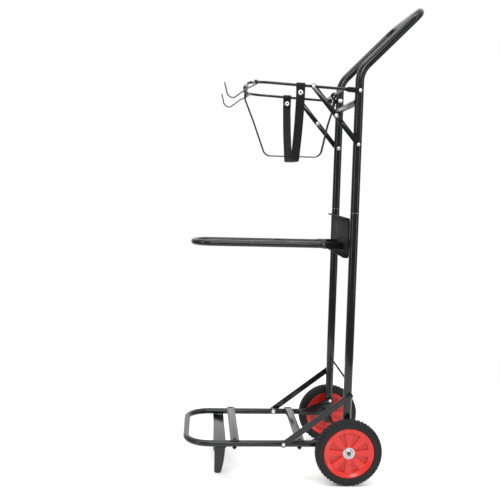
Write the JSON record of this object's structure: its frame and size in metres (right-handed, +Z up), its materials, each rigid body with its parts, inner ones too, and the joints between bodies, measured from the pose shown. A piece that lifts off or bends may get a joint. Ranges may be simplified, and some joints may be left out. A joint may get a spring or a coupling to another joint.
{
  "type": "saddle trolley",
  "caption": "Wheeled folding saddle rack with push handle, saddle arm, sling ring for a bucket, bridle hooks and a folding base.",
  "frame": {"origin": "middle of the bounding box on the floor, between the wheels' bottoms and the feet", "axes": "+Z up; -X towards the base's front bar, +X towards the push handle; -Y is the left-hand side"},
  "size_m": [0.6643, 0.411, 1.3803],
  "materials": {
    "black_paint": "gloss black powder coat",
    "bright_rivet": "bright plated rivet",
    "zinc_steel": "zinc plated",
    "dark_wire": "dark plated steel",
    "red_rim": "glossy moulded red plastic",
    "tyre_rubber": "matt black rubber with tread",
    "black_plastic": "moulded black plastic",
    "black_webbing": "woven black webbing"
  },
  "bodies": {
    "frame": {"post_left": "black_paint", "post_right": "black_paint", "post_cap_left": "black_plastic", "post_cap_right": "black_plastic", "handle_frame": "black_paint", "upper_cross_tube": "black_paint", "lower_cross_rod": "black_paint", "axle": "zinc_steel", "axle_nut_left": "zinc_steel", "axle_nut_right": "zinc_steel", "saddle_bracket": "black_paint", "saddle_arm_pivot_bolt": "bright_rivet", "ring_pivot_rivet_left": "bright_rivet", "ring_pivot_rivet_right": "bright_rivet", "brace_foot_rivet_left": "bright_rivet", "brace_foot_rivet_right": "bright_rivet", "base_pivot_rivet_left": "bright_rivet", "base_pivot_rivet_right": "bright_rivet", "stay_stud_left": "dark_wire", "stay_stud_right": "dark_wire"},
    "wheel_left": {"tyre_left": "tyre_rubber", "rim_left": "red_rim", "wheel_bush_left": "black_plastic"},
    "wheel_right": {"tyre_right": "tyre_rubber", "rim_right": "red_rim", "wheel_bush_right": "black_plastic"},
    "ring": {"bucket_ring": "black_paint", "ring_rear_rod": "black_paint", "bridle_hook_left": "dark_wire", "bridle_hook_right": "dark_wire", "strap_lateral": "black_webbing", "strap_lengthwise": "black_webbing", "strap_eyelet_left": "bright_rivet", "strap_eyelet_right": "bright_rivet", "strap_eyelet_front": "bright_rivet", "strap_eyelet_rear": "bright_rivet"},
    "base": {"base_frame": "black_paint", "deck_bar_front": "black_paint", "deck_bar_rear": "black_paint", "deck_bolt_front_left": "zinc_steel", "deck_bolt_front_right": "zinc_steel", "deck_bolt_rear_left": "zinc_steel", "deck_bolt_rear_right": "zinc_steel", "stand_bar": "black_paint", "foot_left": "black_plastic", "foot_right": "black_plastic", "stay_rivet_left": "bright_rivet", "stay_rivet_right": "bright_rivet"},
    "saddle_arm": {"saddle_arm": "black_paint"},
    "brace_lower_left": {"brace_lower_left": "black_paint", "brace_knee_rivet_left": "bright_rivet"},
    "brace_upper_left": {"brace_upper_left": "black_paint", "brace_ring_rivet_left": "bright_rivet"},
    "stay_left": {"stay_left": "black_paint"},
    "brace_lower_right": {"brace_lower_right": "black_paint", "brace_knee_rivet_right": "bright_rivet"},
    "brace_upper_right": {"brace_upper_right": "black_paint", "brace_ring_rivet_right": "bright_rivet"},
    "stay_right": {"stay_right": "black_paint"}
  },
  "joints": [
    {"name": "wheel_left_spin", "type": "hinge", "parent": "frame", "child": "wheel_left", "pos_m": [0.1498, -0.1885, 0.098], "axis": [0, 1, 0], "continuous": true},
    {"name": "wheel_right_spin", "type": "hinge", "parent": "frame", "child": "wheel_right", "pos_m": [0.1498, 0.1885, 0.098], "axis": [0, 1, 0], "continuous": true},
    {"name": "ring_fold", "type": "hinge", "parent": "frame", "child": "ring", "pos_m": [0.1478, 0, 1.138], "axis": [0, -1, 0], "range_deg": [0, 66], "deforming": ["strap_lateral", "strap_lengthwise"]},
    {"name": "brace_lower_left_turn", "type": "hinge", "parent": "frame", "child": "brace_lower_left", "pos_m": [0.1478, -0.173, 0.987], "axis": [0, -1, 0], "range_deg": [-50, 0]},
    {"name": "brace_upper_left_turn", "type": "hinge", "parent": "brace_lower_left", "child": "brace_upper_left", "pos_m": [0.08105, -0.1745, 1.06591], "axis": [0, -1, 0], "range_deg": [0, 143]},
    {"name": "brace_lower_right_turn", "type": "hinge", "parent": "frame", "child": "brace_lower_right", "pos_m": [0.1478, 0.173, 0.987], "axis": [0, -1, 0], "range_deg": [-50, 0]},
    {"name": "brace_upper_right_turn", "type": "hinge", "parent": "brace_lower_right", "child": "brace_upper_right", "pos_m": [0.08105, 0.1745, 1.06591], "axis": [0, -1, 0], "range_deg": [0, 143]},
    {"name": "base_fold", "type": "hinge", "parent": "frame", "child": "base", "pos_m": [0.1498, 0, 0.153], "axis": [0, 1, 0], "range_deg": [0, 90]},
    {"name": "stay_left_turn", "type": "hinge", "parent": "base", "child": "stay_left", "pos_m": [-0.0382, -0.171, 0.114], "axis": [0, -1, 0], "range_deg": [0, 143]},
    {"name": "stay_right_turn", "type": "hinge", "parent": "base", "child": "stay_right", "pos_m": [-0.0382, 0.171, 0.114], "axis": [0, -1, 0], "range_deg": [0, 143]},
    {"name": "saddle_arm_fold", "type": "hinge", "parent": "frame", "child": "saddle_arm", "pos_m": [0.0778, 0, 0.69], "axis": [0, -1, 0], "range_deg": [0, 90]}
  ],
  "couplings": [
    {"joint": "brace_lower_left_turn", "follows": "ring_fold", "ratio": -0.7369},
    {"joint": "brace_upper_left_turn", "follows": "ring_fold", "ratio": 2.1418},
    {"joint": "stay_left_turn", "follows": "base_fold", "ratio": 1.5839},
    {"joint": "brace_lower_right_turn", "follows": "ring_fold", "ratio": -0.7369},
    {"joint": "brace_upper_right_turn", "follows": "ring_fold", "ratio": 2.1418},
    {"joint": "stay_right_turn", "follows": "base_fold", "ratio": 1.5839}
  ]
}
